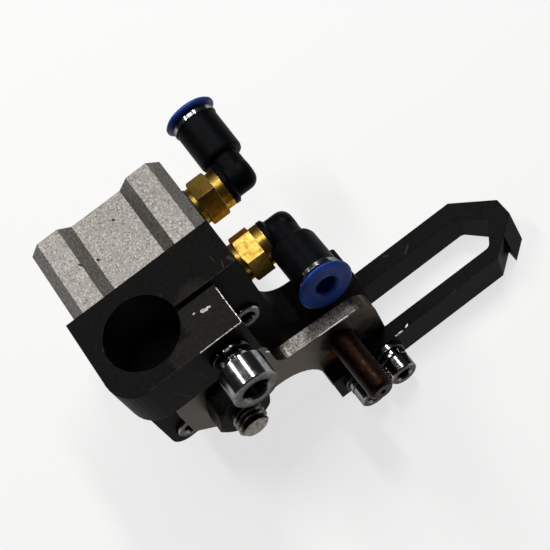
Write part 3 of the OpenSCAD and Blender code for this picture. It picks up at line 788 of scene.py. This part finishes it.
class CYLINDER_OT_plate(bpy.types.Operator):
    """Finish the tool plate, the guide pin and the rod"""
    bl_idname = "cylinder.plate"
    bl_label = "Plate, pin and rod"

    def execute(self, context):
        coat(context, ["tool_plate", "guide_pin"])
        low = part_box("piston_rod")[0]
        rod = merged_copy("piston_rod")
        cut(rod, ROD_THREAD_START_MM - SHELL_OVERLAP_MM, drop_towards=-1)
        close_ends(rod)
        add_thread(rod, (0, 0), M6_MM, context.scene.cylinder_threads.m6_pitch,
                   ROD_THREAD_START_MM, low[1] / MM, ROD_TIP_CHAMFER_MM)
        new_piece(context, rod, "rod_with_thread", "piston_rod")
        return {"FINISHED"}


class CYLINDER_OT_screws(bpy.types.Operator):
    """Finish the screws and washers"""
    bl_idname = "cylinder.screws"
    bl_label = "Screws and washers"

    def execute(self, context):
        coat(context, ["flange_screws", "arm_screws", "arm_flat_washers"])
        start_mm, end_mm = CLAMP_THREAD_MM
        screw = merged_copy("clamp_screw")
        cut(screw, start_mm - SHELL_OVERLAP_MM)
        cut(screw, end_mm + 2 * SHELL_OVERLAP_MM)
        shank = [
            face for face in screw.faces
            if end_mm < face.calc_center_median().y / MM - SHELL_OVERLAP_MM < start_mm - 2 * SHELL_OVERLAP_MM
        ]
        bmesh.ops.delete(screw, geom=shank, context="FACES")
        close_ends(screw)
        pitch = context.scene.cylinder_threads.m5_pitch
        add_thread(screw, CLAMP_SCREW_AXIS_MM, M5_MM, pitch, start_mm, end_mm)
        new_piece(context, screw, "clamp_screw_with_thread", "clamp_screw")
        coil = bmesh.new()
        add_coil(coil, CLAMP_SCREW_AXIS_MM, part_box("clamp_washer")[1][1] / MM, **CLAMP_COIL)
        new_piece(context, coil, "clamp_washer_coil", "clamp_washer")
        coils = bmesh.new()
        for axis_mm in ARM_SCREW_AXES_MM:
            add_coil(coils, axis_mm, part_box("arm_spring_washers")[1][1] / MM, **ARM_COIL)
        new_piece(context, coils, "arm_washer_coils", "arm_spring_washers")
        return {"FINISHED"}


class CYLINDER_OT_fittings(bpy.types.Operator):
    """Finish both elbow fittings"""
    bl_idname = "cylinder.fittings"
    bl_label = "Air fittings"

    def execute(self, context):
        kinds = ("stud", "gasket", "elbow", "stem_seal", "tube_seal", "grip", "collar", "release_ring")
        coat(context, [f"{side}_{kind}" for side in ("rear", "front") for kind in kinds])
        return {"FINISHED"}


def area_light(scene, name, power, size_m, place):
    """A rectangular soft light that points straight down."""
    lamp = bpy.data.lights.new(name, "AREA")
    lamp.shape = "RECTANGLE"
    lamp.energy = power
    lamp.size, lamp.size_y = size_m
    lamp_object = bpy.data.objects.new(name, lamp)
    lamp_object.location = place
    scene.collection.objects.link(lamp_object)


class CYLINDER_OT_stage(bpy.types.Operator):
    """Make the floor, the lights and the camera"""
    bl_idname = "cylinder.stage"
    bl_label = "Studio"

    def execute(self, context):
        scene = context.scene
        studio = scene.cylinder_studio
        scene.view_settings.view_transform = "Standard"
        low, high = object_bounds()
        middle = (low + high) / 2
        mesh = bpy.data.meshes.new("floor")
        paper = bmesh.new()
        bmesh.ops.create_grid(paper, x_segments=1, y_segments=1, size=FLOOR_SIDE / 2)
        bmesh.ops.translate(paper, verts=paper.verts, vec=(middle.x, middle.y, low.z))
        paper.to_mesh(mesh)
        paper.free()
        mesh.materials.append(pale_paper(scene.cylinder_colours))
        floor = bpy.data.objects.new("floor", mesh)
        scene.collection.objects.link(floor)
        floor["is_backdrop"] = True
        world = bpy.data.worlds.new("even_sky")
        world.use_nodes = True
        world.node_tree.nodes.clear()
        sky = add(world.node_tree, "Background", {"Color": (1, 1, 1), "Strength": studio.sky})
        add(world.node_tree, "OutputWorld", {"Surface": sky})
        scene.world = world
        for name, power, size_m, aside in (
            ("left_tube", studio.left_power, TUBE_SIZE, (-TUBE_ASIDE, TUBE_BEHIND)),
            ("right_tube", studio.right_power, TUBE_SIZE, (TUBE_ASIDE, TUBE_BEHIND)),
            ("top_softbox", studio.top_power, (TOP_SIDE, TOP_SIDE), (0, TOP_BEHIND)),
        ):
            area_light(scene, name, power, size_m, middle + Vector((*aside, LAMP_HEIGHT)))
        data = bpy.data.cameras.new("camera")
        data.sensor_width = SENSOR_MM
        data.lens = SENSOR_MM * studio.focal_px / IMAGE_SIDE_PX
        data.clip_start = CLIP_START
        camera = bpy.data.objects.new("camera", data)
        camera.location = studio.camera_place
        camera.rotation_euler = Euler(studio.camera_turn, "XYZ")
        scene.collection.objects.link(camera)
        scene.camera = camera
        return {"FINISHED"}


OPERATORS = (
    CYLINDER_OT_stage, CYLINDER_OT_body, CYLINDER_OT_bracket, CYLINDER_OT_plate, CYLINDER_OT_screws,
    CYLINDER_OT_fittings,
)


class CYLINDER_PT_sidebar(bpy.types.Panel):
    """Lists the pieces and their settings"""
    bl_idname = "CYLINDER_PT_sidebar"
    bl_label = "Air cylinder"
    bl_space_type = "VIEW_3D"
    bl_region_type = "UI"
    bl_category = "Air cylinder"

    def draw(self, context):
        scene = context.scene
        for group in (scene.cylinder_colours, scene.cylinder_threads, scene.cylinder_studio):
            box = self.layout.box()
            for name in type(group).__annotations__:
                box.prop(group, name)
        for operator in OPERATORS:
            self.layout.operator(operator.bl_idname)


GROUPS = (FinishColours, ThreadSizes, StudioSettings)


def register():
    for cls in (*GROUPS, *OPERATORS, CYLINDER_PT_sidebar):
        bpy.utils.register_class(cls)
    bpy.types.Scene.cylinder_colours = bpy.props.PointerProperty(type=FinishColours)
    bpy.types.Scene.cylinder_threads = bpy.props.PointerProperty(type=ThreadSizes)
    bpy.types.Scene.cylinder_studio = bpy.props.PointerProperty(type=StudioSettings)


def unregister():
    del bpy.types.Scene.cylinder_studio
    del bpy.types.Scene.cylinder_threads
    del bpy.types.Scene.cylinder_colours
    for cls in reversed((*GROUPS, *OPERATORS, CYLINDER_PT_sidebar)):
        bpy.utils.unregister_class(cls)


def main():
    """Builds everything."""
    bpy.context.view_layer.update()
    register()
    for operator in OPERATORS:
        group, name = operator.bl_idname.split(".")
        getattr(getattr(bpy.ops, group), name)()


if __name__ == "__main__":
    main()
